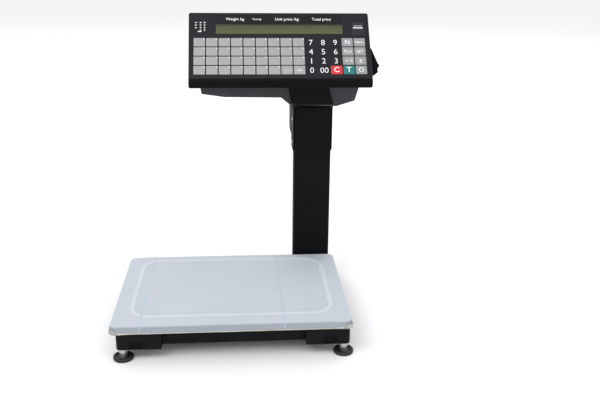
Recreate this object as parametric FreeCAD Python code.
import FreeCAD, Part

import math
import os

V = FreeCAD.Vector

# A label-printing retail price scale: a flat weighing platform on a low base, and an operator's
# console with a built-in label printer on a rectangular column behind the platform.
# Lengths are in millimetres. While it is modelled, X = 0 is the middle of the platform, Y = 0 its
# front edge and Z = 0 the floor. export_all() moves the finished solids so that the origin is the
# bottom centre of the whole scale.

# ---- Driving dimensions ----
PLATFORM_WIDTH = 336.0
PLATFORM_DEPTH = 240.0
PLATFORM_SKIRT = 13.0
PLATFORM_SHEET = 1.2
PLATFORM_CORNER = 9.0
RIDGE_INSET = 22.0
RIDGE_WIDTH = 6.0
RIDGE_HEIGHT = 1.0
RIDGE_CORNER = 32.0
FILM_THICKNESS = 0.3

OVERALL_BASE_HEIGHT = 56.0
BASE_GROUND_GAP = 16.0
BASE_WIDTH = 329.0
BASE_FRONT_SETBACK = 5.0
BASE_REAR_REACH = 60.0
REAR_DECK_TOP = 30.0
REAR_DECK_GAP = 3.0
BASE_SHIFT = 2.5
BASE_WALL = 3.0
BASE_SKIRT_GAP = 4.0
CORNER_BLOCK_WIDTH = 63.0
MIDDLE_SETBACK = 13.0
UNDER_REACH = 51.0
MIDDLE_RISE = 1.0
BLANK_PLUG_WIDTH = 19.0
BLANK_PLUG_HEIGHT = 12.0
BLANK_PLUG_DEPTH = 5.0
FRAME_SHEET = 3.0

FOOT_PAD_RADIUS = 14.2
FOOT_PAD_HEIGHT = 5.0
FOOT_THREAD_RADIUS = 4.0
FOOT_TRAVEL = 6.0
FOOT_INSET_X = 9.0
FOOT_INSET_Y = 6.0
THREAD_CLEARANCE = 0.05
LOCKNUT_ACROSS_FLATS = 13.0
LOCKNUT_HEIGHT = 4.0

COLUMN_WIDTH = 60.0
COLUMN_DEPTH = 30.0
COLUMN_WALL = 2.0
COLUMN_X = 132.0
COLUMN_GAP = 6.0
COLUMN_BOLT_SPACE = 10.0
HEAD_DROP = 38.75
COLUMN_CORNER = 4.0

CONSOLE_WIDTH = 275.0
CONSOLE_CENTRE_X = 77.6
CONSOLE_TOP = 452.4
CONSOLE_TOP_Y = 250.0
PANEL_LENGTH = 114.0
PANEL_TILT = 38.56
LIP_HEIGHT = 13.5
LIP_FORWARD = 2.4
CONSOLE_REAR = 350.0
CONSOLE_REAR_TOP = 430.0
CONSOLE_WALL = 2.5
CONSOLE_ROUND = 3.0
BEZEL_DEPTH = 9.0
SEAM = 0.4

OVERLAY_THICKNESS = 0.6
OVERLAY_MARGIN_X = 4.0
OVERLAY_MARGIN_V = 2.5
KEY_WIDTH = 17.0
KEY_HEIGHT = 14.3
KEY_PITCH_X = 18.6
KEY_PITCH_V = 15.8
KEY_COLUMNS = 14
KEY_ROWS = 4
KEY_FIRST_X = 7.8
KEY_FIRST_V = 44.4
KEY_RAISE = 0.5
DISPLAY_WIDTH = 192.5
DISPLAY_HEIGHT = 16.5
DISPLAY_FIRST_X = 41.0
DISPLAY_FIRST_V = 20.0
LENS_THICKNESS = 1.5

HOUSING_WALL = 2.5
HOUSING_FRONT = 210.0
HOUSING_REAR_INSET = 2.0

ROLL_RADIUS = 35.0
ROLL_WIDTH = 58.0
ROLL_CORE_RADIUS = 20.0
ROLL_X = 62.0
ROLL_Z = 369.0
SPINDLE_RADIUS = 6.0
PRINTER_PLATE_Y = 268.0
PRINTER_PLATE = 2.0
PLATEN_X = 188.0
PLATEN_Z = 372.0
PLATEN_RADIUS = 7.0
PLATEN_SHAFT_RADIUS = 2.5
GEAR_MODULE = 0.8
PLATEN_TEETH = 48
PINION_TEETH = 18
GEAR_WIDTH = 4.0
MOTOR_ANGLE = 38.0
MOTOR_SIZE = 25.0
MOTOR_LENGTH = 20.0
RUNNING_CLEARANCE = 0.05
MOVING_GAP = 0.4

LOAD_CELL_LENGTH = 130.0
LOAD_CELL_WIDTH = 30.0
LOAD_CELL_HEIGHT = 18.0
SPACER_HEIGHT = 3.0
SPACER_LENGTH = 36.0
SUPPORT_SHEET = 2.5
SUPPORT_INSET = 34.0

FOOT_HOLE_DEPTH = 12.5
FOOT_BOSS = 8.0

NECK_WALL = 2.0
NECK_FRONT = 204.0
NECK_LEAN = 3.0
NECK_FACE_HEIGHT = 30.0
NECK_FOOT_DEPTH = 5.0
NECK_OVERLAP = 5.0
NECK_FOOT_LEFT = 5.0
NECK_FOOT_RIGHT = 1.1
NECK_TOP_LEFT = 12.0
NECK_TOP_RIGHT = 11.8

BRACKET_SHEET = 1.6
BRACKET_LENGTH = 78.0
BRACKET_STEP_DROP = 60.0
BRACKET_LOWER_DEPTH = 46.0
BRACKET_UPPER_DEPTH = 96.0

DOOR_SHEET = 2.5
HINGE_RADIUS = 2.2

CUSTOMER_LENS_X0 = 20.0
CUSTOMER_LENS_WIDTH = 150.0
CUSTOMER_LENS_HEIGHT = 16.0
CUSTOMER_LENS_Z = 409.0
SOCKET_Z = 372.0
DC_X = 203.0
SERIAL_X = 152.0
SWITCH_X = 118.0

OUTLET_RISE = 11.25
OUTLET_HEIGHT = 41.8
OUTLET_Y0 = 214.0
CABLE_RADIUS = 2.0

# ---- Worked-out positions ----
PLATFORM_TOP = OVERALL_BASE_HEIGHT - FILM_THICKNESS
SKIRT_BOTTOM = PLATFORM_TOP - PLATFORM_SKIRT
BASE_X0 = BASE_SHIFT - BASE_WIDTH / 2
BASE_X1 = BASE_SHIFT + BASE_WIDTH / 2
BASE_TOP = SKIRT_BOTTOM - BASE_SKIRT_GAP
BASE_REAR = PLATFORM_DEPTH + BASE_REAR_REACH
REAR_DECK_START = PLATFORM_DEPTH + REAR_DECK_GAP
FRAME_Z = BASE_GROUND_GAP + BASE_WALL
FRAME_TOP = FRAME_Z + FRAME_SHEET
FEET = {
    "front_left": (BASE_X0 + FOOT_INSET_X, BASE_FRONT_SETBACK + FOOT_INSET_Y),
    "front_right": (BASE_X1 - FOOT_INSET_X, BASE_FRONT_SETBACK + FOOT_INSET_Y),
    "rear_left": (BASE_X0 + FOOT_INSET_X, BASE_REAR - FOOT_INSET_Y),
    "rear_right": (BASE_X1 - FOOT_INSET_X, BASE_REAR - FOOT_INSET_Y),
}
COLUMN_X0 = COLUMN_X - COLUMN_WIDTH / 2
COLUMN_X1 = COLUMN_X + COLUMN_WIDTH / 2
COLUMN_Y0 = PLATFORM_DEPTH + COLUMN_GAP
COLUMN_Y1 = COLUMN_Y0 + COLUMN_DEPTH
TILT = math.radians(PANEL_TILT)
CONSOLE_X0 = CONSOLE_CENTRE_X - CONSOLE_WIDTH / 2
CONSOLE_X1 = CONSOLE_CENTRE_X + CONSOLE_WIDTH / 2
PARTING_Y = CONSOLE_TOP_Y - PANEL_LENGTH * math.sin(TILT)
PARTING_Z = CONSOLE_TOP - PANEL_LENGTH * math.cos(TILT)
CONSOLE_BOTTOM = PARTING_Z - LIP_HEIGHT
COLUMN_TOP = CONSOLE_BOTTOM - HEAD_DROP
BRACKET_BOTTOM = COLUMN_TOP - BRACKET_LENGTH
BRACKET_STEP = COLUMN_TOP - BRACKET_STEP_DROP
OUTLET_Z0 = CONSOLE_BOTTOM + OUTLET_RISE
OUTLET_Z1 = OUTLET_Z0 + OUTLET_HEIGHT
LIP_Y = PARTING_Y - LIP_FORWARD
CONSOLE_OUTLINE = [
    (LIP_Y, CONSOLE_BOTTOM),
    (LIP_Y, PARTING_Z - LIP_FORWARD),
    (PARTING_Y, PARTING_Z),
    (CONSOLE_TOP_Y, CONSOLE_TOP),
    (CONSOLE_TOP_Y + 40, CONSOLE_TOP - 6),
    (CONSOLE_REAR, CONSOLE_REAR_TOP),
    (CONSOLE_REAR, CONSOLE_BOTTOM),
]
HOUSING_REAR = CONSOLE_REAR - HOUSING_REAR_INSET
HOUSING_OUTLINE = [
    (CONSOLE_X0 + 14.9, CONSOLE_BOTTOM),
    (CONSOLE_X0 + 17.6, CONSOLE_BOTTOM - 14.4),
    (CONSOLE_X0 + 52.3, CONSOLE_BOTTOM - 19.3),
    (COLUMN_X0 - 23.3, CONSOLE_BOTTOM - 20.5),
    (COLUMN_X0 - 10.2, CONSOLE_BOTTOM - 31.3),
    (COLUMN_X1 + 2.0, CONSOLE_BOTTOM - 34.4),
    (CONSOLE_X1 - 22.4, CONSOLE_BOTTOM - 25.7),
    (CONSOLE_X1 - 14.8, CONSOLE_BOTTOM),
]
BRACKET_TOP = COLUMN_TOP + BRACKET_SHEET
DOOR_X0 = ROLL_X - ROLL_RADIUS - 4
DOOR_X1 = ROLL_X + ROLL_RADIUS + 4
DOOR_Z0 = CONSOLE_BOTTOM - 17
DOOR_Z1 = ROLL_Z + ROLL_RADIUS + 1.5
MOTOR_DISTANCE = GEAR_MODULE * (PLATEN_TEETH + PINION_TEETH) / 2
MOTOR_X = PLATEN_X - MOTOR_DISTANCE * math.cos(math.radians(MOTOR_ANGLE))
MOTOR_Z = PLATEN_Z - MOTOR_DISTANCE * math.sin(math.radians(MOTOR_ANGLE))
ROLL_Y0 = PRINTER_PLATE_Y + PRINTER_PLATE + 4
ROLL_Y1 = ROLL_Y0 + ROLL_WIDTH
OUTER_PLATE_Y = ROLL_Y1 + 4
HEAD_PIVOT_X = PLATEN_X - 30
HEAD_PIVOT_Z = PLATEN_Z + 24

PARTS = {}


# ---- Small helpers ----
def box(x0, x1, y0, y1, z0, z1):
    return Part.makeBox(x1 - x0, y1 - y0, z1 - z0, V(x0, y0, z0))


def cylinder(radius, start, direction, length):
    return Part.makeCylinder(radius, length, V(*start), V(*direction))


def prism_x(outline, x0, x1):
    """A solid with a (y, z) outline, from x0 to x1."""
    points = [V(x0, y, z) for y, z in outline]
    face = Part.Face(Part.makePolygon(points + points[:1]))
    return face.extrude(V(x1 - x0, 0, 0))


def prism_y(outline, y0, y1):
    """A solid with an (x, z) outline, from y0 to y1."""
    points = [V(x, y0, z) for x, z in outline]
    face = Part.Face(Part.makePolygon(points + points[:1]))
    return face.extrude(V(0, y1 - y0, 0))


def rounded_plate(x0, x1, y0, y1, z0, z1, radius):
    """A box whose four upright edges are rounded."""
    plate = box(x0, x1, y0, y1, z0, z1)
    upright = [e for e in plate.Edges if abs(e.tangentAt(e.FirstParameter).z) > 0.99]
    return plate.makeFillet(radius, upright)


def join(shapes):
    """One node's solids. Pieces that touch become one solid and the others stay apart."""
    if len(shapes) == 1:
        return shapes[0]
    return shapes[0].multiFuse(shapes[1:]).removeSplitter()


def group(shapes):
    return Part.makeCompound(shapes)


def inset(outline, distance):
    """A convex outline moved inwards by one distance, as a list of corners."""
    area = sum(a[0] * b[1] - b[0] * a[1] for a, b in zip(outline, outline[1:] + outline[:1]))
    turn = 1 if area > 0 else -1
    lines = []
    for a, b in zip(outline, outline[1:] + outline[:1]):
        dx, dy = b[0] - a[0], b[1] - a[1]
        length = math.hypot(dx, dy)
        nx, ny = -turn * dy / length, turn * dx / length
        lines.append((nx, ny, nx * a[0] + ny * a[1] + distance))
    corners = []
    for first, second in zip(lines[-1:] + lines[:-1], lines):
        det = first[0] * second[1] - second[0] * first[1]
        corners.append((
            (first[2] * second[1] - second[2] * first[1]) / det,
            (first[0] * second[2] - second[0] * first[2]) / det,
        ))
    return corners


def panel_point(x, v, out=0.0):
    """The point x along the console and v down its front panel, raised by out from the panel."""
    y = CONSOLE_TOP_Y - v * math.sin(TILT) - out * math.cos(TILT)
    z = CONSOLE_TOP - v * math.cos(TILT) + out * math.sin(TILT)
    return V(x, y, z)


def panel_box(x0, x1, v0, v1, out0, out1):
    """A box on the sloping front panel, between two heights above the panel's surface."""
    corners = [panel_point(x0, v0, out0), panel_point(x0, v1, out0), panel_point(x0, v1, out1)]
    corners.append(panel_point(x0, v0, out1))
    face = Part.Face(Part.makePolygon(corners + corners[:1]))
    return face.extrude(V(x1 - x0, 0, 0))


def screw(x, y, z, direction, length, radius=2.0, head_radius=3.5, head_height=2.0):
    """A pan-head screw. (x, y, z) is under its head and direction points along the shank."""
    dx, dy, dz = direction
    shank = cylinder(radius, (x, y, z), direction, length)
    head = cylinder(head_radius, (x, y, z), (-dx, -dy, -dz), head_height)
    return join([shank, head])


def hexagon(x, y, z0, z1, across_flats):
    radius = across_flats / math.sqrt(3)
    angles = [math.radians(60 * i) for i in range(6)]
    points = [V(x + radius * math.cos(a), y + radius * math.sin(a), z0) for a in angles]
    return Part.Face(Part.makePolygon(points + points[:1])).extrude(V(0, 0, z1 - z0))


# ---- Base ----
def base_side(wall=0.0):
    """The base's closed form, moved inwards by a wall: lower behind the platform, with a bay in front."""
    body = rounded_plate(
        BASE_X0 + wall, BASE_X1 - wall, BASE_FRONT_SETBACK + wall, BASE_REAR - wall,
        BASE_GROUND_GAP + wall, BASE_TOP - wall, 6.0 - wall,
    )
    body = body.cut(box(
        BASE_X0 - 1, BASE_X1 + 1, REAR_DECK_START - wall, BASE_REAR + 1,
        REAR_DECK_TOP - wall, BASE_TOP + 1,
    ))
    bay = box(
        BASE_X0 + CORNER_BLOCK_WIDTH - wall, BASE_X1 - CORNER_BLOCK_WIDTH + wall,
        BASE_FRONT_SETBACK - 1, BASE_FRONT_SETBACK + MIDDLE_SETBACK + wall,
        BASE_GROUND_GAP - 1, BASE_TOP + 1,
    )
    under = box(
        BASE_X0 + CORNER_BLOCK_WIDTH - wall, BASE_X1 - CORNER_BLOCK_WIDTH + wall,
        BASE_FRONT_SETBACK - 1, BASE_FRONT_SETBACK + UNDER_REACH + wall,
        BASE_GROUND_GAP - 1, BASE_GROUND_GAP + MIDDLE_RISE + wall,
    )
    return body.cut(bay).cut(under)


def plug_centres():
    middle = CORNER_BLOCK_WIDTH / 2 - BLANK_PLUG_WIDTH * 0.15
    return [BASE_X0 + middle, BASE_X1 - middle]


def make_base():
    shell = base_side().cut(base_side(BASE_WALL))
    floor_opening = box(
        BASE_X0 + 22, BASE_X1 - 22, BASE_FRONT_SETBACK + UNDER_REACH + 8, BASE_REAR - 18,
        BASE_GROUND_GAP - 1, BASE_GROUND_GAP + BASE_WALL + 1,
    )
    load_opening = box(
        -LOAD_CELL_LENGTH / 2 - 12, LOAD_CELL_LENGTH / 2 + 12, PLATFORM_DEPTH / 2 - 26,
        PLATFORM_DEPTH / 2 + 26, BASE_TOP - BASE_WALL - 1, BASE_TOP + 1,
    )
    column_opening = box(
        COLUMN_X0 - MOVING_GAP, COLUMN_X1 + MOVING_GAP, COLUMN_Y0 - COLUMN_BOLT_SPACE,
        COLUMN_Y1 + MOVING_GAP, REAR_DECK_TOP - BASE_WALL - 1, BASE_TOP + 1,
    )
    shell = shell.cut(floor_opening).cut(load_opening).cut(column_opening)
    bosses = []
    for x, y in FEET.values():
        boss = cylinder(
            FOOT_BOSS, (x, y, BASE_GROUND_GAP), (0, 0, 1), REAR_DECK_TOP - BASE_GROUND_GAP,
        )
        bosses.append(boss.common(base_side()))
    shell = join([shell] + bosses)
    hole_radius = FOOT_THREAD_RADIUS + THREAD_CLEARANCE
    for x, y in FEET.values():
        hole = cylinder(hole_radius, (x, y, BASE_GROUND_GAP - 1), (0, 0, 1), FOOT_HOLE_DEPTH + 1)
        shell = shell.cut(hole)
    plugs = []
    for x in plug_centres():
        x0, x1 = x - BLANK_PLUG_WIDTH / 2, x + BLANK_PLUG_WIDTH / 2
        z0 = BASE_GROUND_GAP + 1.5
        z1 = z0 + BLANK_PLUG_HEIGHT
        y0 = BASE_FRONT_SETBACK
        shell = shell.cut(box(x0, x1, y0 - 1, y0 + BASE_WALL + 1, z0, z1))
        face = box(x0, x1, y0 + 1.0, y0 + 1.0 + BLANK_PLUG_DEPTH, z0, z1)
        plugs.append(face)
    shell = shell.cut(group(plugs))
    side_clearance = FOOT_INSET_X + FOOT_BOSS + 1
    frame_x0, frame_x1 = BASE_X0 + side_clearance, BASE_X1 - side_clearance
    frame_y0 = BASE_FRONT_SETBACK + UNDER_REACH + BASE_WALL + 1
    frame_y1 = BASE_REAR - BASE_WALL
    flange_x1 = COLUMN_X0 - 6
    frame = join([
        box(frame_x0, frame_x1, frame_y0, frame_y1, FRAME_Z, FRAME_TOP),
        box(frame_x0, frame_x1, frame_y0, frame_y0 + FRAME_SHEET, FRAME_Z, FRAME_TOP + 10),
        box(frame_x0, flange_x1, frame_y1 - FRAME_SHEET, frame_y1, FRAME_Z, FRAME_TOP + 4),
    ])
    cover = box(
        BASE_X0 + 22 + MOVING_GAP, BASE_X1 - 22 - MOVING_GAP,
        BASE_FRONT_SETBACK + UNDER_REACH + 8 + MOVING_GAP, BASE_REAR - 18 - MOVING_GAP,
        FRAME_Z - 2.0, FRAME_Z,
    )
    screws = []
    for x in (frame_x0 + 12, frame_x1 - 12):
        for y in (frame_y0 + 14, (frame_y0 + frame_y1) / 2, frame_y1 - 24):
            screws.append(screw(x, y, FRAME_Z - 2.0, (0, 0, 1), 2.0 + FRAME_SHEET, 2.0, 3.5, 1.0))
    cover = cover.cut(group(screws))
    frame = frame.cut(group(screws))
    PARTS["base_shell"] = shell
    PARTS["base_front_plugs"] = group(plugs)
    PARTS["base_frame"] = frame
    PARTS["base_bottom_cover"] = cover
    PARTS["bottom_cover_screws"] = group(screws)


def make_feet():
    locknuts = []
    for name, (x, y) in FEET.items():
        pad = cylinder(FOOT_PAD_RADIUS, (x, y, 0), (0, 0, 1), FOOT_PAD_HEIGHT)
        pad = pad.makeFillet(1.0, [e for e in pad.Edges if e.Length > 2 * FOOT_PAD_RADIUS])
        dish = cylinder(FOOT_PAD_RADIUS - 3, (x, y, FOOT_PAD_HEIGHT - 1.2), (0, 0, 1), 5)
        pad = pad.cut(dish)
        socket_radius = 5.5
        socket_depth = 2.0
        socket_floor = FOOT_PAD_HEIGHT - 1.2 - socket_depth
        socket = cylinder(socket_radius, (x, y, socket_floor), (0, 0, 1), 5)
        pad = pad.cut(socket)
        foot_end = cylinder(
            socket_radius - RUNNING_CLEARANCE, (x, y, socket_floor), (0, 0, 1), socket_depth,
        )
        hex_top = BASE_GROUND_GAP - LOCKNUT_HEIGHT - 0.5
        collar = hexagon(x, y, socket_floor + socket_depth, hex_top, 10.0)
        thread_top = BASE_GROUND_GAP + FOOT_HOLE_DEPTH - 1
        thread = cylinder(FOOT_THREAD_RADIUS, (x, y, hex_top), (0, 0, 1), thread_top - hex_top)
        locknut = hexagon(
            x, y, BASE_GROUND_GAP - LOCKNUT_HEIGHT, BASE_GROUND_GAP, LOCKNUT_ACROSS_FLATS,
        )
        hole = cylinder(
            FOOT_THREAD_RADIUS + THREAD_CLEARANCE, (x, y, 0), (0, 0, 1), BASE_GROUND_GAP + 1,
        )
        locknuts.append(locknut.cut(hole))
        PARTS["foot_pad_" + name] = pad
        PARTS["foot_stud_" + name] = join([foot_end, collar, thread])
    PARTS["foot_locknuts"] = group(locknuts)


# ---- Weighing mechanism and platform ----


def make_load_cell():
    y0 = PLATFORM_DEPTH / 2 - LOAD_CELL_WIDTH / 2
    y1 = y0 + LOAD_CELL_WIDTH
    x0, x1 = -LOAD_CELL_LENGTH / 2, LOAD_CELL_LENGTH / 2
    spacer_top = FRAME_TOP + SPACER_HEIGHT
    cell = box(x0, x1, y0, y1, spacer_top, spacer_top + LOAD_CELL_HEIGHT)
    middle_z = spacer_top + LOAD_CELL_HEIGHT / 2
    for dx in (-9.0, 9.0):
        cell = cell.cut(cylinder(7.5, (dx, y0 - 1, middle_z), (0, 1, 0), LOAD_CELL_WIDTH + 2))
    cell = cell.cut(box(-9, 9, y0 - 1, y1 + 1, middle_z - 2, middle_z + 2))
    lower = box(x0, x0 + SPACER_LENGTH, y0, y1, FRAME_TOP, spacer_top)
    bolts = []
    for x in (x0 + 8, x0 + 26):
        bolts.append(screw(
            x, PLATFORM_DEPTH / 2, spacer_top + LOAD_CELL_HEIGHT, (0, 0, -1),
            LOAD_CELL_HEIGHT + SPACER_HEIGHT + FRAME_SHEET, 3.0, 5.0, 1.6,
        ))
    cell_top = spacer_top + LOAD_CELL_HEIGHT
    arm_z = cell_top + 2.0
    upper = box(x1 - SPACER_LENGTH, x1, y0, y1, cell_top, arm_z)
    for x in (x1 - 26, x1 - 8):
        bolts.append(screw(
            x, PLATFORM_DEPTH / 2, arm_z + SUPPORT_SHEET, (0, 0, -1), 16.0, 3.0, 5.0, 1.6,
        ))
    bolt_group = group(bolts)
    reach_x = PLATFORM_WIDTH / 2 - SUPPORT_INSET
    reach_y = PLATFORM_DEPTH / 2 - SUPPORT_INSET
    middle = PLATFORM_DEPTH / 2
    plates = [box(-reach_x, reach_x, middle - 16, middle + 16, arm_z, arm_z + SUPPORT_SHEET)]
    for side in (-1, 1):
        x = side * (reach_x - 12)
        plates.append(box(
            x - 12, x + 12, middle - reach_y, middle + reach_y, arm_z, arm_z + SUPPORT_SHEET,
        ))
    support = join(plates).cut(bolt_group)
    pads = []
    pad_top = PLATFORM_TOP - PLATFORM_SHEET
    for sx in (-1, 1):
        for sy in (-1, 1):
            x, y = sx * (reach_x - 12), middle + sy * (reach_y - 12)
            z = arm_z + SUPPORT_SHEET
            pads.append(cylinder(8.0, (x, y, z), (0, 0, 1), pad_top - z))
    PARTS["load_cell"] = cell.cut(bolt_group)
    PARTS["load_cell_spacers"] = group([lower, upper]).cut(bolt_group)
    PARTS["frame_bolts"] = bolt_group
    PARTS["base_frame"] = PARTS["base_frame"].cut(bolt_group)
    PARTS["platform_support"] = support
    PARTS["platform_support_pads"] = group(pads)


def ridge_ring(grow):
    """The raised border line pressed into the platform's top, grown for the film that lies on it."""
    x0, x1 = -PLATFORM_WIDTH / 2 + RIDGE_INSET - grow, PLATFORM_WIDTH / 2 - RIDGE_INSET + grow
    y0, y1 = RIDGE_INSET - grow, PLATFORM_DEPTH - RIDGE_INSET + 6 + grow
    z0 = PLATFORM_TOP - 0.1
    top = PLATFORM_TOP + RIDGE_HEIGHT + grow
    width = RIDGE_WIDTH + 2 * grow
    outer = rounded_plate(x0, x1, y0, y1, z0, top, RIDGE_CORNER + grow)
    inner = rounded_plate(
        x0 + width, x1 - width, y0 + width, y1 - width, z0 - 1, top + 1, RIDGE_CORNER + grow - width,
    )
    return outer.cut(inner)


def tray(outward, top, bottom, corner):
    """A rounded box over the platform's plan, grown outward."""
    x = PLATFORM_WIDTH / 2 + outward
    body = rounded_plate(-x, x, -outward, PLATFORM_DEPTH + outward, bottom, top, corner + outward)
    rim = [e for e in body.Edges if abs(e.BoundBox.ZMin - top) < 1e-6]
    return body.makeFillet(2.0 + outward, rim)


def make_platform():
    outer = tray(-FILM_THICKNESS, PLATFORM_TOP, SKIRT_BOTTOM, PLATFORM_CORNER)
    hollow = tray(
        -FILM_THICKNESS - PLATFORM_SHEET, PLATFORM_TOP - PLATFORM_SHEET, SKIRT_BOTTOM - 5,
        PLATFORM_CORNER,
    )
    platform = join([outer.cut(hollow), ridge_ring(0.0)])
    skin = tray(0.0, PLATFORM_TOP + FILM_THICKNESS, SKIRT_BOTTOM, PLATFORM_CORNER)
    film = join([skin, ridge_ring(FILM_THICKNESS)]).cut(outer).cut(ridge_ring(0.0))
    PARTS["platform"] = platform
    PARTS["protective_film"] = film


def make_level():
    """A small bubble level in the base's deck, behind the platform."""
    x, y = -60.0, (REAR_DECK_START + BASE_REAR) / 2
    cup_top = REAR_DECK_TOP + 4
    cup = cylinder(9.0, (x, y, REAR_DECK_TOP), (0, 0, 1), cup_top - REAR_DECK_TOP)
    vial_radius = 7.0
    vial_floor = REAR_DECK_TOP + 1.0
    cup = cup.cut(cylinder(vial_radius, (x, y, vial_floor), (0, 0, 1), 10))
    vial = cylinder(vial_radius, (x, y, vial_floor), (0, 0, 1), cup_top - vial_floor)
    PARTS["level_cup"] = cup
    PARTS["level_vial"] = vial


# ---- Column, head bracket and neck ----
def make_column():
    tube = rounded_plate(
        COLUMN_X0, COLUMN_X1, COLUMN_Y0, COLUMN_Y1, FRAME_TOP, COLUMN_TOP, COLUMN_CORNER,
    )
    bore = rounded_plate(
        COLUMN_X0 + COLUMN_WALL, COLUMN_X1 - COLUMN_WALL, COLUMN_Y0 + COLUMN_WALL,
        COLUMN_Y1 - COLUMN_WALL, FRAME_TOP - 1, COLUMN_TOP + 1, COLUMN_CORNER - COLUMN_WALL,
    )
    cable_mouth = box(
        COLUMN_X0 - 1, COLUMN_X0 + COLUMN_WALL + 1, COLUMN_Y0 + 9, COLUMN_Y1 - 9,
        FRAME_TOP - 1, FRAME_TOP + 12,
    )
    tube = tube.cut(bore).cut(cable_mouth)
    foot_y0 = COLUMN_Y0 - 24
    foot = box(COLUMN_X0, COLUMN_X1, foot_y0, COLUMN_Y0, FRAME_TOP, FRAME_TOP + 3)
    foot = foot.fuse(box(COLUMN_X0, COLUMN_X1, COLUMN_Y0 - 3, COLUMN_Y0, FRAME_TOP, FRAME_TOP + 16))
    foot = foot.removeSplitter()
    bolts = []
    for x in (COLUMN_X0 + 12, COLUMN_X1 - 22):
        bolts.append(screw(
            x, COLUMN_Y0 - 13, FRAME_TOP + 3, (0, 0, -1), 3 + FRAME_SHEET, 3.0, 5.0, 3.0,
        ))
        bolts.append(screw(
            x, COLUMN_Y0 - 3, FRAME_TOP + 10, (0, 1, 0), 3 + COLUMN_WALL, 3.0, 5.0, 3.0,
        ))
    bolt_group = group(bolts)
    PARTS["column_tube"] = tube.cut(bolt_group)
    PARTS["column_foot"] = foot.cut(bolt_group)
    PARTS["frame_bolts"] = group(PARTS["frame_bolts"].Solids + bolts)
    PARTS["base_frame"] = PARTS["base_frame"].cut(bolt_group)


def make_bracket():
    """One bent sheet: cheeks on both sides of the column, and a shelf that carries the console."""
    y0 = COLUMN_Y0 + 1
    corner = 6.0
    cheek_outline = [
        (y0, BRACKET_BOTTOM + corner), (y0 + corner, BRACKET_BOTTOM),
        (y0 + BRACKET_LOWER_DEPTH - corner, BRACKET_BOTTOM),
        (y0 + BRACKET_LOWER_DEPTH, BRACKET_BOTTOM + corner),
        (y0 + BRACKET_LOWER_DEPTH, BRACKET_STEP),
        (y0 + BRACKET_UPPER_DEPTH - corner, BRACKET_STEP),
        (y0 + BRACKET_UPPER_DEPTH, BRACKET_STEP + corner),
        (y0 + BRACKET_UPPER_DEPTH, BRACKET_TOP), (y0, BRACKET_TOP),
    ]
    left = prism_x(cheek_outline, COLUMN_X0 - BRACKET_SHEET, COLUMN_X0)
    right = prism_x(cheek_outline, COLUMN_X1, COLUMN_X1 + BRACKET_SHEET)
    shelf = box(
        COLUMN_X0 - BRACKET_SHEET, COLUMN_X1 + BRACKET_SHEET, y0, y0 + BRACKET_UPPER_DEPTH,
        COLUMN_TOP, BRACKET_TOP,
    )
    cable_hole = cylinder(
        9.0, (COLUMN_X, (COLUMN_Y0 + COLUMN_Y1) / 2, COLUMN_TOP - 1), (0, 0, 1), 4,
    )
    bracket = join([left, right, shelf]).cut(cable_hole)
    screws = []
    screw_y = (COLUMN_Y0 + COLUMN_Y1) / 2
    for z in (BRACKET_BOTTOM + 14, BRACKET_STEP + 34):
        screws.append(screw(
            COLUMN_X0 - BRACKET_SHEET, screw_y, z, (1, 0, 0), BRACKET_SHEET + COLUMN_WALL,
            2.5, 4.5, 1.0,
        ))
        screws.append(screw(
            COLUMN_X1 + BRACKET_SHEET, screw_y, z, (-1, 0, 0), BRACKET_SHEET + COLUMN_WALL,
            2.5, 4.5, 1.0,
        ))
    for x in (COLUMN_X0 + 8, COLUMN_X1 - 8):
        for y in (COLUMN_Y1 + 12, COLUMN_Y1 + 50):
            screws.append(screw(
                x, y, COLUMN_TOP, (0, 0, 1), BRACKET_SHEET + HOUSING_WALL + 2, 2.5, 4.5, 2.4,
            ))
    screw_group = group(screws)
    PARTS["head_bracket"] = bracket.cut(screw_group)
    PARTS["column_tube"] = PARTS["column_tube"].cut(screw_group)
    PARTS["bracket_screws"] = screw_group
    PARTS["printer_housing"] = PARTS["printer_housing"].cut(screw_group)


def neck_block(grow):
    """The space that the neck cover takes up in front of the column, moved outwards by grow."""
    back = COLUMN_Y0 - MOVING_GAP
    foot_z = COLUMN_TOP - NECK_OVERLAP
    beyond = 20.0
    profile = [
        (NECK_FRONT, CONSOLE_BOTTOM + beyond),
        (NECK_FRONT, CONSOLE_BOTTOM),
        (NECK_FRONT + NECK_LEAN, CONSOLE_BOTTOM - NECK_FACE_HEIGHT),
        (COLUMN_Y0 - NECK_FOOT_DEPTH, foot_z),
        (back + beyond, foot_z),
        (back + beyond, CONSOLE_BOTTOM + beyond),
    ]
    outline = [
        (COLUMN_X0 - NECK_TOP_LEFT, CONSOLE_BOTTOM + beyond),
        (COLUMN_X0 - NECK_TOP_LEFT, CONSOLE_BOTTOM),
        (COLUMN_X0 - NECK_FOOT_LEFT, foot_z),
        (COLUMN_X0 - NECK_FOOT_LEFT, foot_z - beyond),
        (COLUMN_X1 + NECK_FOOT_RIGHT, foot_z - beyond),
        (COLUMN_X1 + NECK_FOOT_RIGHT, foot_z),
        (COLUMN_X1 - NECK_TOP_RIGHT, CONSOLE_BOTTOM),
        (COLUMN_X1 - NECK_TOP_RIGHT, CONSOLE_BOTTOM + beyond),
    ]
    side = prism_x(inset(profile, -grow), COLUMN_X0 - beyond, COLUMN_X1 + beyond)
    front = prism_y(inset(outline, -grow), NECK_FRONT - beyond, back)
    low = box(
        COLUMN_X0 - beyond, COLUMN_X1 + beyond, NECK_FRONT - beyond, back, foot_z - beyond,
        CONSOLE_BOTTOM,
    )
    return side.common(front).common(low)


def make_neck():
    PARTS["neck_cover"] = neck_block(0.0).cut(neck_block(-NECK_WALL))


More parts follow.
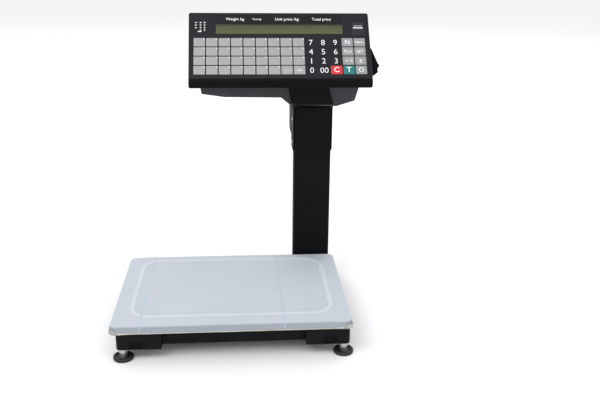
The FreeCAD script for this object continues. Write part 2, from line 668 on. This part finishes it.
# ---- Console shells ----
def console_solid(distance):
    """The console's closed outer form, moved inwards by a distance."""
    outline = inset(CONSOLE_OUTLINE, distance)
    return prism_x(outline, CONSOLE_X0 + distance, CONSOLE_X1 - distance)


def front_slab(depth):
    """Everything within a depth of the front panel's plane, above the parting line."""
    slab = panel_box(CONSOLE_X0 - 5, CONSOLE_X1 + 5, -20, PANEL_LENGTH + 40, -depth, 20)
    above = box(CONSOLE_X0 - 9, CONSOLE_X1 + 9, 0, CONSOLE_REAR + 9, PARTING_Z + SEAM / 2, 600)
    return slab.common(above)


def housing_solid(distance):
    outline = inset(HOUSING_OUTLINE, distance)
    return prism_y(outline, HOUSING_FRONT + distance, HOUSING_REAR - distance)


def door_opening(grow):
    return box(
        DOOR_X0 - grow, DOOR_X1 + grow, CONSOLE_REAR - 12, CONSOLE_REAR + 5,
        DOOR_Z0 - grow, DOOR_Z1 + grow,
    )


def make_shells():
    outer = console_solid(0.0)
    outer = outer.makeFillet(CONSOLE_ROUND, outer.Edges)
    shell = outer.cut(console_solid(CONSOLE_WALL))
    slab = front_slab(BEZEL_DEPTH)
    bezel = shell.common(slab)
    below = box(CONSOLE_X0 - 9, CONSOLE_X1 + 9, 0, 500, 0, PARTING_Z - SEAM / 2)
    above = box(CONSOLE_X0 - 9, CONSOLE_X1 + 9, 0, 500, PARTING_Z + SEAM / 2, 600)
    rear = shell.common(above).cut(front_slab(BEZEL_DEPTH + SEAM))
    lower = shell.common(below)
    floor_opening = box(
        HOUSING_OUTLINE[2][0] + 4, HOUSING_OUTLINE[6][0] - 2, HOUSING_FRONT + 10,
        HOUSING_REAR - 10, CONSOLE_BOTTOM - 5, CONSOLE_BOTTOM + CONSOLE_WALL + 1,
    )
    opening = door_opening(MOVING_GAP)
    lower = lower.cut(floor_opening).cut(opening)
    rear = rear.cut(opening)

    x0, x1 = CONSOLE_X0 + OVERLAY_MARGIN_X, CONSOLE_X1 - OVERLAY_MARGIN_X
    v0, v1 = OVERLAY_MARGIN_V, PANEL_LENGTH - OVERLAY_MARGIN_V
    window = panel_box(
        CONSOLE_X0 + DISPLAY_FIRST_X, CONSOLE_X0 + DISPLAY_FIRST_X + DISPLAY_WIDTH,
        DISPLAY_FIRST_V, DISPLAY_FIRST_V + DISPLAY_HEIGHT, -BEZEL_DEPTH, 5,
    )
    key_area_x1 = CONSOLE_X0 + KEY_FIRST_X + (KEY_COLUMNS - 1) * KEY_PITCH_X + KEY_WIDTH
    key_area_v1 = KEY_FIRST_V + (KEY_ROWS - 1) * KEY_PITCH_V + KEY_HEIGHT
    tail_slot = panel_box(
        CONSOLE_X0 + KEY_FIRST_X + 20, CONSOLE_X0 + KEY_FIRST_X + 60, KEY_FIRST_V - 6,
        KEY_FIRST_V - 4, -BEZEL_DEPTH, 5,
    )
    recess = panel_box(x0, x1, v0, v1, -OVERLAY_THICKNESS, 5)
    bezel = bezel.cut(recess).cut(window).cut(tail_slot)
    overlay = panel_box(x0, x1, v0, v1, -OVERLAY_THICKNESS, 0).cut(window)
    keys = []
    for row in range(KEY_ROWS):
        for column in range(KEY_COLUMNS):
            kx = CONSOLE_X0 + KEY_FIRST_X + column * KEY_PITCH_X
            kv = KEY_FIRST_V + row * KEY_PITCH_V
            keys.append(panel_box(kx, kx + KEY_WIDTH, kv, kv + KEY_HEIGHT, 0, KEY_RAISE))
    overlay = join([overlay] + keys)
    lens = panel_box(
        CONSOLE_X0 + DISPLAY_FIRST_X, CONSOLE_X0 + DISPLAY_FIRST_X + DISPLAY_WIDTH,
        DISPLAY_FIRST_V, DISPLAY_FIRST_V + DISPLAY_HEIGHT, -LENS_THICKNESS, -0.2,
    )
    lcd = panel_box(
        CONSOLE_X0 + DISPLAY_FIRST_X - 3, CONSOLE_X0 + DISPLAY_FIRST_X + DISPLAY_WIDTH + 3,
        DISPLAY_FIRST_V - 6, DISPLAY_FIRST_V + DISPLAY_HEIGHT + 2, -11.0, -CONSOLE_WALL - 0.3,
    )
    switches = panel_box(
        x0 + 3, key_area_x1 + 1, KEY_FIRST_V - 1, key_area_v1 - 1,
        -CONSOLE_WALL - 1.6, -CONSOLE_WALL,
    )
    board = panel_box(x0 + 6, x1 - 6, 14, key_area_v1 - 7, -14.2, -12.6)
    PARTS["front_bezel"] = bezel
    PARTS["keypad_overlay"] = overlay
    PARTS["keypad_switch_board"] = switches
    PARTS["seller_display_lens"] = lens
    PARTS["seller_lcd_module"] = lcd
    PARTS["main_board"] = board
    PARTS["console_rear_shell"] = rear
    PARTS["console_lower_shell"] = lower
    housing = housing_solid(0.0).cut(housing_solid(HOUSING_WALL))
    open_top = box(
        HOUSING_OUTLINE[0][0] - 5, HOUSING_OUTLINE[7][0] + 5, 0, 500,
        CONSOLE_BOTTOM - HOUSING_WALL - 0.01, 500,
    )
    rim = housing_solid(0.0).common(open_top).cut(prism_y(
        inset(HOUSING_OUTLINE, HOUSING_WALL + 0.2)[0:8], HOUSING_FRONT + HOUSING_WALL,
        HOUSING_REAR - HOUSING_WALL,
    ).fuse(box(
        HOUSING_OUTLINE[0][0] + 4, HOUSING_OUTLINE[7][0] - 4, HOUSING_FRONT + HOUSING_WALL,
        HOUSING_REAR - HOUSING_WALL, CONSOLE_BOTTOM - 5, CONSOLE_BOTTOM + 1,
    )))
    housing = join([housing.cut(open_top), rim])
    cable_way = cylinder(
        9.0, (COLUMN_X, (COLUMN_Y0 + COLUMN_Y1) / 2, COLUMN_TOP - 5), (0, 0, 1), 20,
    )
    PARTS["printer_housing"] = housing.cut(neck_block(SEAM)).cut(cable_way).cut(opening)


def make_rear_fittings():
    """The customer's display, the power switch and the sockets, in the console's rear wall."""
    y1 = CONSOLE_REAR
    wall_y = y1 - CONSOLE_WALL
    rear = PARTS["console_rear_shell"]
    x0 = CUSTOMER_LENS_X0
    x1 = x0 + CUSTOMER_LENS_WIDTH
    z0, z1 = CUSTOMER_LENS_Z, CUSTOMER_LENS_Z + CUSTOMER_LENS_HEIGHT
    rear = rear.cut(box(x0, x1, wall_y - 1, y1 + 1, z0, z1))
    PARTS["customer_display_lens"] = box(x0, x1, wall_y + 0.5, y1 - 0.5, z0, z1)
    PARTS["customer_lcd_module"] = box(x0 - 4, x1 + 4, wall_y - 8.0, wall_y - 0.2, z0 - 1.5, z1 + 1)

    inlet_radius = 5.5
    rear = rear.cut(cylinder(inlet_radius, (DC_X, wall_y - 1, SOCKET_Z), (0, 1, 0), 9))
    inlet = cylinder(inlet_radius, (DC_X, wall_y - 9, SOCKET_Z), (0, 1, 0), CONSOLE_WALL + 10)
    inlet = inlet.cut(cylinder(3.2, (DC_X, wall_y - 6, SOCKET_Z), (0, 1, 0), 20))
    pin = cylinder(1.05, (DC_X, wall_y - 9, SOCKET_Z), (0, 1, 0), CONSOLE_WALL + 8)
    PARTS["dc_inlet"] = join([inlet, pin])

    half_width, half_height = 12.5, 5.6
    port_hole = box(
        SERIAL_X - half_width, SERIAL_X + half_width, wall_y - 1, y1 + 3,
        SOCKET_Z - half_height, SOCKET_Z + half_height,
    )
    rear = rear.cut(port_hole)
    port = box(
        SERIAL_X - half_width, SERIAL_X + half_width, wall_y - 9, y1 + 1,
        SOCKET_Z - half_height, SOCKET_Z + half_height,
    )
    port = port.cut(box(
        SERIAL_X - 8.3, SERIAL_X + 8.3, wall_y - 4, y1 + 3, SOCKET_Z - 4.2, SOCKET_Z + 4.2,
    ))
    pins = []
    for i in range(5):
        pins.append(cylinder(0.5, (SERIAL_X + (i - 2) * 2.76, wall_y - 4.5, SOCKET_Z + 1.42), (0, 1, 0), 5))
    for i in range(4):
        pins.append(cylinder(0.5, (SERIAL_X + (i - 1.5) * 2.76, wall_y - 4.5, SOCKET_Z - 1.42), (0, 1, 0), 5))
    PARTS["serial_port"] = join([port] + pins)

    frame_w, frame_h = 10.5, 7.5
    rear = rear.cut(box(
        SWITCH_X - frame_w, SWITCH_X + frame_w, wall_y - 1, y1 + 3,
        SOCKET_Z - frame_h, SOCKET_Z + frame_h,
    ))
    frame = box(
        SWITCH_X - frame_w, SWITCH_X + frame_w, wall_y - 12, y1 + 1,
        SOCKET_Z - frame_h, SOCKET_Z + frame_h,
    )
    frame = frame.cut(box(
        SWITCH_X - frame_w + 1.5, SWITCH_X + frame_w - 1.5, wall_y - 8, y1 + 3,
        SOCKET_Z - frame_h + 1.5, SOCKET_Z + frame_h - 1.5,
    ))
    rocker_half = frame_w - 1.5 - 1.2
    rocker = Part.makeCylinder(
        rocker_half, 2 * (frame_h - 1.5 - MOVING_GAP),
        V(SWITCH_X, y1 - 4.5, SOCKET_Z - frame_h + 1.5 + MOVING_GAP), V(0, 0, 1),
    )
    rocker = rocker.cut(box(
        SWITCH_X - 20, SWITCH_X + 20, y1 - 30, y1 - 6.5, SOCKET_Z - 20, SOCKET_Z + 20,
    ))
    rocker = rocker.cut(box(
        SWITCH_X - 20, SWITCH_X + 20, y1 + 1.6, y1 + 30, SOCKET_Z - 20, SOCKET_Z + 20,
    ))
    PARTS["power_switch_frame"] = frame
    PARTS["power_rocker"] = rocker
    PARTS["console_rear_shell"] = rear


def make_door():
    """The label roll's door in the rear wall. It hangs from a hinge along its top edge."""
    y1 = CONSOLE_REAR
    panel = box(DOOR_X0, DOOR_X1, y1 - DOOR_SHEET, y1, DOOR_Z0, DOOR_Z1 - 2 * HINGE_RADIUS)
    hinge_y, hinge_z = y1 + 0.6, DOOR_Z1 - HINGE_RADIUS
    barrel = cylinder(HINGE_RADIUS, (DOOR_X0 + 5, hinge_y, hinge_z), (1, 0, 0), DOOR_X1 - DOOR_X0 - 10)
    leaf = box(DOOR_X0 + 5, DOOR_X1 - 5, y1 - DOOR_SHEET, y1, DOOR_Z1 - 2 * HINGE_RADIUS - 1, hinge_z)
    grip = box(ROLL_X - 12, ROLL_X + 12, y1, y1 + 3, DOOR_Z0 + 4, DOOR_Z0 + 7)
    pin_radius = 1.2
    bore = cylinder(
        pin_radius + RUNNING_CLEARANCE, (DOOR_X0, hinge_y, hinge_z), (1, 0, 0), DOOR_X1 - DOOR_X0,
    )
    door = join([panel, barrel, leaf, grip]).cut(bore)
    pin = cylinder(pin_radius, (DOOR_X0 - 4, hinge_y, hinge_z), (1, 0, 0), DOOR_X1 - DOOR_X0 + 8)
    lugs = []
    for x in (DOOR_X0 - 4, DOOR_X1 + 1):
        lug = box(x, x + 3, y1, hinge_y + HINGE_RADIUS, hinge_z - HINGE_RADIUS, hinge_z + HINGE_RADIUS)
        lugs.append(lug)
    rear = join([PARTS["console_rear_shell"]] + lugs)
    PARTS["console_rear_shell"] = rear.cut(pin)
    PARTS["roll_door"] = door
    PARTS["door_hinge_pin"] = pin


# ---- Label printer ----
def gear(x, z, y0, teeth, bore_radius, phase):
    """A spur gear on a Y axis, with straight-sided teeth that run with a little backlash."""
    pitch = GEAR_MODULE * teeth / 2
    outer, root = pitch + 0.85 * GEAR_MODULE, pitch - 1.2 * GEAR_MODULE
    step = 2 * math.pi / teeth
    profile = [(root, -0.33), (pitch, -0.215), (outer, -0.10), (outer, 0.10), (pitch, 0.215)]
    profile.append((root, 0.33))
    corners = []
    for i in range(teeth):
        for radius, share in profile:
            angle = phase + (i + share) * step
            corners.append((x + radius * math.cos(angle), z + radius * math.sin(angle)))
    wheel = prism_y(corners, y0, y0 + GEAR_WIDTH)
    return wheel.cut(cylinder(bore_radius, (x, y0 - 1, z), (0, 1, 0), GEAR_WIDTH + 2))


def make_printer():
    y0, y1 = PRINTER_PLATE_Y, PRINTER_PLATE_Y + PRINTER_PLATE
    plate_x0, plate_x1 = ROLL_X - ROLL_RADIUS - 8, CONSOLE_X1 - 14
    floor = CONSOLE_BOTTOM - 14.0
    plate = box(plate_x0, PLATEN_X - 2, y0, y1, floor, ROLL_Z + ROLL_RADIUS + 2)
    plate = plate.fuse(box(
        PLATEN_X - 3, plate_x1, y0, y1, CONSOLE_BOTTOM + CONSOLE_WALL + 1, ROLL_Z + ROLL_RADIUS + 2,
    ))
    shaft_hole = PLATEN_SHAFT_RADIUS + RUNNING_CLEARANCE
    outer_plate = box(
        HEAD_PIVOT_X - 8, PLATEN_X + 10, OUTER_PLATE_Y, OUTER_PLATE_Y + PRINTER_PLATE,
        PLATEN_Z - 14, HEAD_PIVOT_Z + 6,
    )
    spacer = box(
        HEAD_PIVOT_X - 8, HEAD_PIVOT_X - 4, y1, OUTER_PLATE_Y, PLATEN_Z - 14, PLATEN_Z - 11,
    )
    frame = join([plate, outer_plate, spacer])
    holes = [
        cylinder(shaft_hole, (PLATEN_X, y0 - 5, PLATEN_Z), (0, 1, 0), OUTER_PLATE_Y + 20 - y0),
        cylinder(shaft_hole, (MOTOR_X, y0 - 5, MOTOR_Z), (0, 1, 0), PRINTER_PLATE + 8),
    ]
    frame = frame.cut(group(holes))
    pivot = cylinder(2.0, (HEAD_PIVOT_X, y0, HEAD_PIVOT_Z), (0, 1, 0), OUTER_PLATE_Y + 2 - y0)
    spindle = cylinder(SPINDLE_RADIUS, (ROLL_X, y1, ROLL_Z), (0, 1, 0), ROLL_WIDTH + 8)
    stub = cylinder(SPINDLE_RADIUS + 4, (ROLL_X, y1, ROLL_Z), (0, 1, 0), 3.0)
    PARTS["roll_spindle"] = join([spindle, stub])
    PARTS["printer_frame"] = join([frame, pivot])

    hub = cylinder(ROLL_CORE_RADIUS, (ROLL_X, ROLL_Y0, ROLL_Z), (0, 1, 0), ROLL_WIDTH)
    hub_flange = cylinder(ROLL_RADIUS - 5, (ROLL_X, ROLL_Y0 - 0.8, ROLL_Z), (0, 1, 0), 0.8)
    hub = join([hub, hub_flange]).cut(cylinder(
        SPINDLE_RADIUS + RUNNING_CLEARANCE, (ROLL_X, ROLL_Y0 - 2, ROLL_Z), (0, 1, 0), ROLL_WIDTH + 4,
    ))
    core_hole = cylinder(ROLL_CORE_RADIUS, (ROLL_X, ROLL_Y0 - 1, ROLL_Z), (0, 1, 0), ROLL_WIDTH + 2)
    paper = cylinder(ROLL_RADIUS, (ROLL_X, ROLL_Y0, ROLL_Z), (0, 1, 0), ROLL_WIDTH)
    PARTS["roll_hub"] = hub
    PARTS["label_roll"] = paper.cut(core_hole)

    gear_y = y0 - 1.0 - GEAR_WIDTH
    shaft = cylinder(
        PLATEN_SHAFT_RADIUS, (PLATEN_X, gear_y, PLATEN_Z), (0, 1, 0), OUTER_PLATE_Y + 3 - gear_y,
    )
    rubber_y0, rubber_y1 = y1 + 2, OUTER_PLATE_Y - 2
    rubber = cylinder(PLATEN_RADIUS, (PLATEN_X, rubber_y0, PLATEN_Z), (0, 1, 0), rubber_y1 - rubber_y0)
    PARTS["platen_shaft"] = shaft
    PARTS["platen_rubber"] = rubber.cut(shaft)
    direction = math.atan2(MOTOR_Z - PLATEN_Z, MOTOR_X - PLATEN_X)
    PARTS["platen_gear"] = gear(
        PLATEN_X, PLATEN_Z, gear_y, PLATEN_TEETH, PLATEN_SHAFT_RADIUS, direction,
    )
    pinion_phase = direction + math.pi + math.pi / PINION_TEETH
    pinion = gear(MOTOR_X, MOTOR_Z, gear_y, PINION_TEETH, PLATEN_SHAFT_RADIUS, pinion_phase)
    motor_shaft = cylinder(
        PLATEN_SHAFT_RADIUS, (MOTOR_X, gear_y, MOTOR_Z), (0, 1, 0), y1 + 8 - gear_y,
    )
    PARTS["motor_pinion"] = join([pinion, motor_shaft])
    half = MOTOR_SIZE / 2
    motor = box(MOTOR_X - half, MOTOR_X + half, y1, y1 + MOTOR_LENGTH, MOTOR_Z - half, MOTOR_Z + half)
    PARTS["stepper_motor"] = motor.cut(cylinder(shaft_hole, (MOTOR_X, y1 - 1, MOTOR_Z), (0, 1, 0), 10))

    arm_y0, arm_y1 = y1 + 3, OUTER_PLATE_Y - 3
    head_z0 = PLATEN_Z + PLATEN_RADIUS + 0.3
    eye = cylinder(5.0, (HEAD_PIVOT_X, arm_y0, HEAD_PIVOT_Z), (0, 1, 0), arm_y1 - arm_y0)
    bar = box(HEAD_PIVOT_X, PLATEN_X + 6, arm_y0, arm_y1, HEAD_PIVOT_Z - 5, HEAD_PIVOT_Z - 2)
    hanger = box(PLATEN_X - 5, PLATEN_X + 5, arm_y0, arm_y1, head_z0 + 5, HEAD_PIVOT_Z - 5)
    thumb = box(PLATEN_X + 6, PLATEN_X + 12, arm_y1 - 14, arm_y1, HEAD_PIVOT_Z - 5, HEAD_PIVOT_Z - 2)
    pivot_hole = cylinder(2.0 + RUNNING_CLEARANCE, (HEAD_PIVOT_X, arm_y0 - 1, HEAD_PIVOT_Z), (0, 1, 0), 90)
    PARTS["print_head_arm"] = join([eye, bar, hanger, thumb]).cut(pivot_hole)
    PARTS["thermal_head"] = box(PLATEN_X - 6, PLATEN_X + 6, arm_y0, arm_y1, head_z0, head_z0 + 5)
    PARTS["peel_bar"] = box(PLATEN_X + 11, PLATEN_X + 13, y1, OUTER_PLATE_Y + 2, PLATEN_Z - 3, PLATEN_Z + 5)


def make_outlet():
    """The hood on the console's right side that guides each label out."""
    x = CONSOLE_X1
    rear_y = OUTER_PLATE_Y + 3
    outline = [
        (x, OUTLET_Z0), (x + 5.5, OUTLET_Z0), (x + 13.5, OUTLET_Z0 + 6.6), (x + 12.0, OUTLET_Z0 + 10.5),
        (x + 15.0, OUTLET_Z0 + 16.8), (x + 12.0, OUTLET_Z0 + 20.5), (x + 1.5, OUTLET_Z1), (x, OUTLET_Z1),
    ]
    hood = prism_y(outline, OUTLET_Y0, rear_y)
    slot_y0, slot_y1 = PRINTER_PLATE_Y + PRINTER_PLATE + 2, OUTER_PLATE_Y - 2
    slot_z0, slot_z1 = PLATEN_Z, PLATEN_Z + 9
    slot = box(x - CONSOLE_WALL - 6, x + 20, slot_y0, slot_y1, slot_z0, slot_z1)
    PARTS["outlet_hood"] = hood.cut(slot)
    PARTS["console_rear_shell"] = PARTS["console_rear_shell"].cut(slot)


def make_cable():
    """The load cell's lead: along the frame, round one bend and up inside the column."""
    x = COLUMN_X - 4
    y = (COLUMN_Y0 + COLUMN_Y1) / 2
    z = FRAME_TOP + CABLE_RADIUS + 0.5
    bend = 12.0
    start_x = COLUMN_X0 - 46
    top = CONSOLE_BOTTOM - 4
    middle = bend * math.sin(math.radians(45))
    run = Part.LineSegment(V(start_x, y, z), V(x - bend, y, z)).toShape()
    turn = Part.Arc(
        V(x - bend, y, z), V(x - bend + middle, y, z + bend - middle), V(x, y, z + bend),
    ).toShape()
    rise = Part.LineSegment(V(x, y, z + bend), V(x, y, top)).toShape()
    path = Part.Wire([run, turn, rise])
    section = Part.Wire([Part.makeCircle(CABLE_RADIUS, V(start_x, y, z), V(1, 0, 0))])
    cable = path.makePipeShell([section], True, False)
    length = run.Length + turn.Length + rise.Length
    print("load cell lead: bend radius", bend, "length", round(length, 1))
    print("volume over section times length", cable.Volume / (math.pi * CABLE_RADIUS ** 2 * length))
    PARTS["load_cell_lead"] = cable


def make_shell_screws():
    """Screws up through the lower shell's floor that hold the console's shells together."""
    screws = []
    for x in (CONSOLE_X0 + 9, CONSOLE_X1 - 9):
        for y in (LIP_Y + 14, CONSOLE_REAR - 14):
            screws.append(screw(x, y, CONSOLE_BOTTOM, (0, 0, 1), 8, 1.5, 3.0, 1.6))
    screw_group = group(screws)
    PARTS["console_lower_shell"] = PARTS["console_lower_shell"].cut(screw_group)
    PARTS["shell_screws"] = screw_group


def export_all():
    """Moves every solid so that the origin is the bottom centre of the whole, and writes it."""
    whole = FreeCAD.BoundBox()
    for shape in PARTS.values():
        whole.add(shape.optimalBoundingBox())
    shift = V(-(whole.XMin + whole.XMax) / 2, -(whole.YMin + whole.YMax) / 2, -whole.ZMin)
    os.makedirs("parts", exist_ok=True)
    for name, shape in PARTS.items():
        moved = shape.copy()
        moved.translate(shift)
        moved.exportStep(os.path.join("parts", name + ".step"))
    print("nodes", len(PARTS), "shift", [round(a, 3) for a in shift])
    print("size", [round(a, 2) for a in (whole.XLength, whole.YLength, whole.ZLength)])
    return shift


make_base()
make_feet()
make_load_cell()
make_platform()
make_level()
make_column()
make_shells()
make_bracket()
make_neck()
make_rear_fittings()
make_door()
make_printer()
make_outlet()
make_cable()
make_shell_screws()
SHIFT = export_all()
